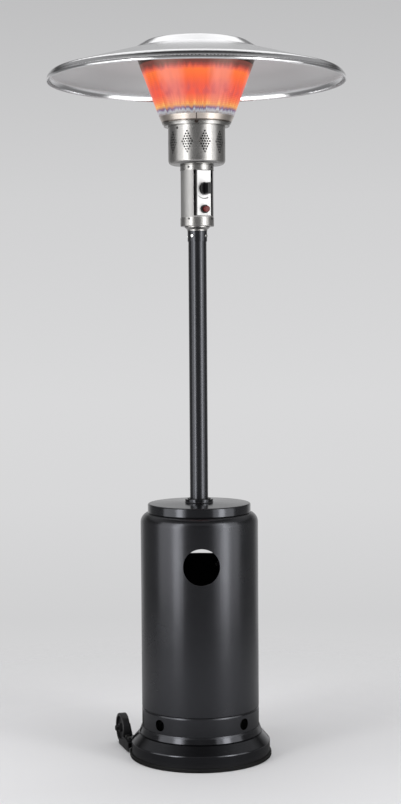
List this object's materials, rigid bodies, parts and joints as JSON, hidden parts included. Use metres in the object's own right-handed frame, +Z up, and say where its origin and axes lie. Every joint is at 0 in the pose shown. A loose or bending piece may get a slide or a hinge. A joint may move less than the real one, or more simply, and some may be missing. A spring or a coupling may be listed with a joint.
{
  "type": "gas patio heater",
  "caption": "Free-standing gas patio heater: round base with a lift-up bottle housing, pole, control box with knob and igniter, glowing conical emitter and wide reflector.",
  "frame": {"origin": "centre of the base on the floor", "axes": "+Z up the pole, -Y to the front, +Y to the wheels, X along the wheel axles"},
  "size_m": [0.9452, 0.9452, 2.2956],
  "materials": {
    "black_coat": "satin black powder coat",
    "edging": "matt",
    "ballast": "rough",
    "wheel_plastic": "moulded",
    "zinc": "bright zinc plate",
    "stainless": "polished stainless",
    "dark_screws": "blackened",
    "dial_enamel": "satin white",
    "black_plastic": "moulded",
    "red_plastic": "gloss",
    "die_cast": "cast",
    "brass": "turned",
    "burner_steel": "plain",
    "ceramic": "glazed",
    "heat_tinted_steel": "heat tinted",
    "glow_screen": "glowing in use",
    "spun_aluminium": "bright spun"
  },
  "bodies": {
    "stand": {"axle_cap_nuts": "dark_screws", "axle_washers": "dark_screws", "base_bolts": "zinc", "base_pan": "black_coat", "base_trim": "edging", "base_weight": "ballast", "burner_cup": "stainless", "burner_head": "burner_steel", "carriage_bolts": "dark_screws", "control_base": "stainless", "control_chassis": "stainless", "control_shell": "stainless", "control_top": "stainless", "dial_plate": "dial_enamel", "emitter_band": "heat_tinted_steel", "emitter_cap": "heat_tinted_steel", "emitter_flange": "stainless", "emitter_screen": "glow_screen", "emitter_top_ring": "heat_tinted_steel", "frame_bolts": "zinc", "gas_injector": "brass", "gas_inlet": "brass", "gas_pipe": "burner_steel", "gas_valve": "die_cast", "head_neck": "stainless", "igniter_barrel": "black_plastic", "igniter_bezel": "black_plastic", "mixing_tube": "burner_steel", "pilot_burner": "burner_steel", "pole": "black_coat", "pole_carrier": "black_coat", "pole_sleeve": "black_coat", "pole_socket": "black_coat", "reflector": "spun_aluminium", "reflector_nuts": "zinc", "reflector_studs": "zinc", "shell_screws": "dark_screws", "sleeve_bolts": "zinc", "spark_electrode": "ceramic", "stub_axles": "dark_screws", "support_post_1": "black_coat", "support_post_2": "black_coat", "support_post_3": "black_coat", "support_post_4": "black_coat", "tank_retainer": "black_coat", "thermocouple": "burner_steel", "tilt_switch": "black_plastic", "wheel_arm_left": "black_coat", "wheel_arm_right": "black_coat", "wheel_strap": "black_coat"},
    "housing": {"tank_housing": "black_coat", "housing_lid": "black_coat", "pole_bush": "black_plastic"},
    "valve_push": {"valve_plunger": "brass"},
    "knob": {"valve_spindle": "brass", "control_knob": "black_plastic"},
    "button": {"igniter_button": "red_plastic"},
    "wheel_l": {"wheel_left": "wheel_plastic"},
    "wheel_r": {"wheel_right": "wheel_plastic"}
  },
  "joints": [
    {"name": "housing_lift", "type": "slide", "parent": "stand", "child": "housing", "axis": [0, 0, 1], "range_m": [0, 0.6]},
    {"name": "knob_push", "type": "slide", "parent": "stand", "child": "valve_push", "axis": [-0.1908, 0.9816, 0], "range_m": [0, 0.005], "stiffness_N_per_m": 900},
    {"name": "knob_turn", "type": "hinge", "parent": "valve_push", "child": "knob", "pos_m": [0.00954, -0.04908, 1.814], "axis": [0.1908, -0.9816, 0], "range_deg": [0, 180]},
    {"name": "igniter_press", "type": "slide", "parent": "stand", "child": "button", "axis": [-0.1908, 0.9816, 0], "range_m": [0, 0.006], "stiffness_N_per_m": 700},
    {"name": "wheel_left_spin", "type": "hinge", "parent": "stand", "child": "wheel_l", "pos_m": [-0.206, 0.2, 0.054], "axis": [1, 0, 0], "continuous": true},
    {"name": "wheel_right_spin", "type": "hinge", "parent": "stand", "child": "wheel_r", "pos_m": [0.206, 0.2, 0.054], "axis": [1, 0, 0], "continuous": true}
  ]
}
